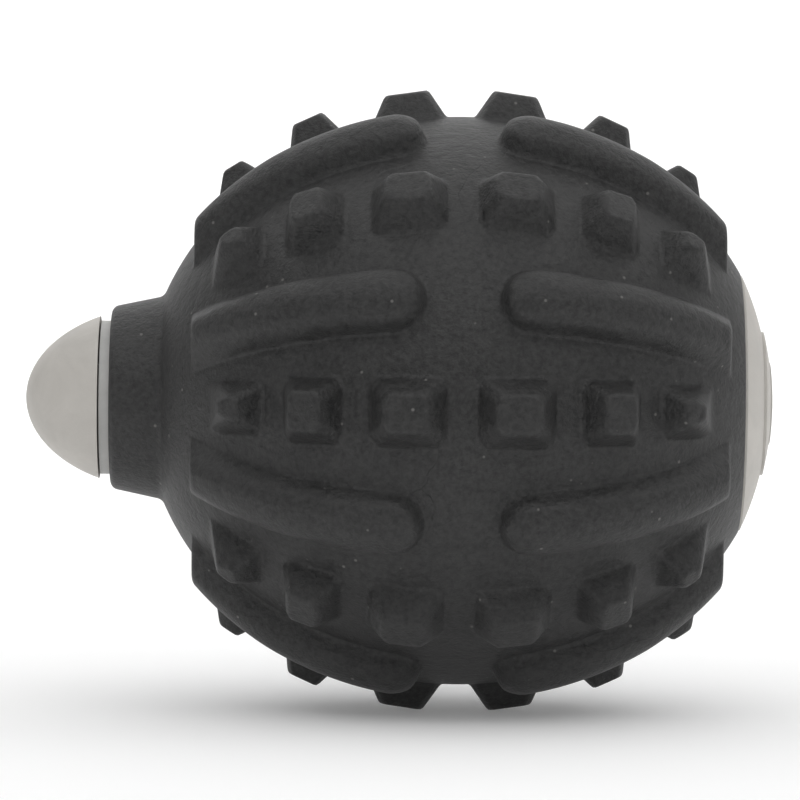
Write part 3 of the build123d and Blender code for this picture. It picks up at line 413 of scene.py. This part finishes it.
def board_material(name):
    """Green solder mask over a weave that just shows."""
    n = Nodes(name)
    weave = n.add("ShaderNodeTexBrick", {"Vector": n.place, "Scale": 900.0}).outputs["Fac"]
    n.set(Base_Color=n.mix(weave, (0.010, 0.105, 0.040), (0.014, 0.150, 0.060)))
    n.set(Roughness=n.span(n.noise(200), 0.3, 0.7, 0.25, 0.38))
    return n.material


PLASTICS = {
    # slot: name, light tone, dark tone, roughness, and where they differ mottle scale, grain depth
    "soft_grey": ("warm_grey_plastic", (0.56, 0.536, 0.50), (0.49, 0.469, 0.436), 0.55),
    "ring_grey": ("cool_grey_plastic", (0.57, 0.565, 0.55), (0.47, 0.467, 0.455), 0.6),
    "core_grey": ("core_plastic", (0.055, 0.057, 0.060), (0.040, 0.042, 0.045), 0.5),
    "white_nylon": ("natural_nylon", (0.68, 0.66, 0.60), (0.60, 0.58, 0.52), 0.5),
    "black_plastic": ("black_plastic", (0.022, 0.022, 0.023), (0.014, 0.014, 0.015), 0.45),
    "magnet_ferrite": ("ferrite", (0.070, 0.070, 0.073), (0.045, 0.045, 0.048), 0.6, 200),
    "carbon": ("brush_carbon", (0.035, 0.035, 0.036), (0.020, 0.020, 0.021), 0.7, 400),
    "cell_wrap": ("cell_wrap", (0.06, 0.14, 0.34), (0.05, 0.11, 0.28), 0.3),
    "seal_rubber": ("seal_rubber", (0.025, 0.025, 0.026), (0.018, 0.018, 0.019), 0.6),
    "foam": ("foam", (0.085, 0.085, 0.090), (0.045, 0.045, 0.050), 0.9, 900, 0.00012),
    "wire_red": ("red_insulation", (0.42, 0.020, 0.015), (0.33, 0.014, 0.012), 0.4),
    "wire_black": ("black_insulation", (0.022, 0.022, 0.022), (0.015, 0.015, 0.015), 0.4),
}
METALS = {
    # slot: name, colour, roughness, and where it differs the stretch of the streaks
    "steel": ("plated_steel", (0.62, 0.62, 0.61), 0.32),
    "brass": ("turned_brass", (0.80, 0.60, 0.30), 0.30),
    "copper": ("commutator_copper", (0.85, 0.48, 0.32), 0.30),
    "sintered_bronze": ("sintered_bronze", (0.48, 0.34, 0.20), 0.55, (6, 6, 6)),
    "lamination_steel": ("rotor_laminations", (0.42, 0.42, 0.43), 0.42, (60, 1, 1)),
}


def paint_by_slot():
    """Gives every CAD node the material of its slot in the record."""
    made = {slot: moulded_material(*look) for slot, look in PLASTICS.items()}
    made.update({slot: metal_material(*look) for slot, look in METALS.items()})
    made["rubber_black"] = rubber_material()
    made["board_green"] = board_material("solder_mask")
    made["clear"] = clear_material("clear_acrylic")
    for part in frame["record"]["subparts"]:
        piece = frame["nodes"][part["node"]]
        piece.data.materials.clear()
        piece.data.materials.append(made[part["material_slot"]])
    return made


# Stage, light and camera

def stage_material():
    """Plain pale paper."""
    n = Nodes("paper")
    n.set(Base_Color=n.mix(n.noise(8), (0.90, 0.90, 0.90), (0.93, 0.93, 0.93)))
    n.set(Roughness=0.9)
    n.set(Emission_Color=(1.0, 1.0, 1.0, 1.0))
    n.set(Emission_Strength=0.16)
    return n.material


def backdrop():
    """Pale floor that sweeps up behind the object without a corner."""
    half, front, back, bend, top = 2.5, -1.6, 1.4, 0.8, 3.0
    line = [(front, 0.0), (back, 0.0)]
    for t in np.linspace(0, math.pi / 2, 24)[1:]:
        line.append((back + bend * math.sin(t), bend - bend * math.cos(t)))
    line.append((back + bend, top))
    vertices = [(side * half, y, z) for y, z in line for side in (-1, 1)]
    faces = [(2 * k, 2 * k + 1, 2 * k + 3, 2 * k + 2) for k in range(len(line) - 1)]
    mesh = bpy.data.meshes.new("backdrop")
    mesh.from_pydata(vertices, [], faces)
    mesh.polygons.foreach_set("use_smooth", [True] * len(faces))
    sheet = bpy.data.objects.new("backdrop", mesh)
    bpy.context.scene.collection.objects.link(sheet)
    mesh.materials.append(stage_material())


def softbox(name, place, target, size, power):
    """Large rectangular light aimed at a point."""
    light = bpy.data.lights.new(name, "AREA")
    light.shape = "RECTANGLE"
    light.size, light.size_y = size
    light.energy = power
    lamp = bpy.data.objects.new(name, light)
    lamp.location = place
    lamp.rotation_euler = (Vector(target) - Vector(place)).to_track_quat("-Z", "Y").to_euler()
    bpy.context.scene.collection.objects.link(lamp)


def studio():
    """Light tent: bright above and at the sides, dimmer from the camera's side."""
    target = tuple(CENTRE)
    softbox("top", (0.0, 0.1, 1.2), target, (2.6, 2.8), 18)
    softbox("front", (0.0, -1.15, 1.1), target, (2.4, 0.9), 6.5)
    softbox("left", (-1.4, 0.3, 0.6), target, (1.5, 1.4), 1.1)
    softbox("right", (1.4, 0.3, 0.6), target, (1.5, 1.4), 3.8)
    softbox("behind", (0.0, 0.8, 1.3), (0.0, 2.2, 0.5), (2.4, 0.8), 15)
    world = bpy.data.worlds.new("room")
    world.use_nodes = True
    world.node_tree.nodes["Background"].inputs["Color"].default_value = (1, 1, 1, 1)
    world.node_tree.nodes["Background"].inputs["Strength"].default_value = 0.2
    bpy.context.scene.world = world
    bpy.context.scene.view_settings.view_transform = "Standard"


def camera():
    """Long lens aimed just to the tip's side of the body's centre, from slightly above."""
    distance = 0.963
    rise, turn, roll = (math.radians(angle) for angle in (2.5, -0.47, 0.57))
    aim = CENTRE + Vector((-9.28 * MM, 0, 0))
    view = bpy.data.cameras.new("camera")
    view.lens = 270
    view.sensor_width = 36
    eye = bpy.data.objects.new("camera", view)
    away = Vector((math.sin(turn) * math.cos(rise), -math.cos(turn) * math.cos(rise), math.sin(rise)))
    eye.location = aim + away * distance
    eye.rotation_euler = Euler((math.pi / 2 - rise, 0, turn))
    eye.rotation_euler.rotate_axis("Z", roll)
    bpy.context.scene.collection.objects.link(eye)
    bpy.context.scene.camera = eye


materials = paint_by_slot()
skin = rubber_skin()
skin.data.materials.append(materials["rubber_black"])
backdrop()
studio()
camera()
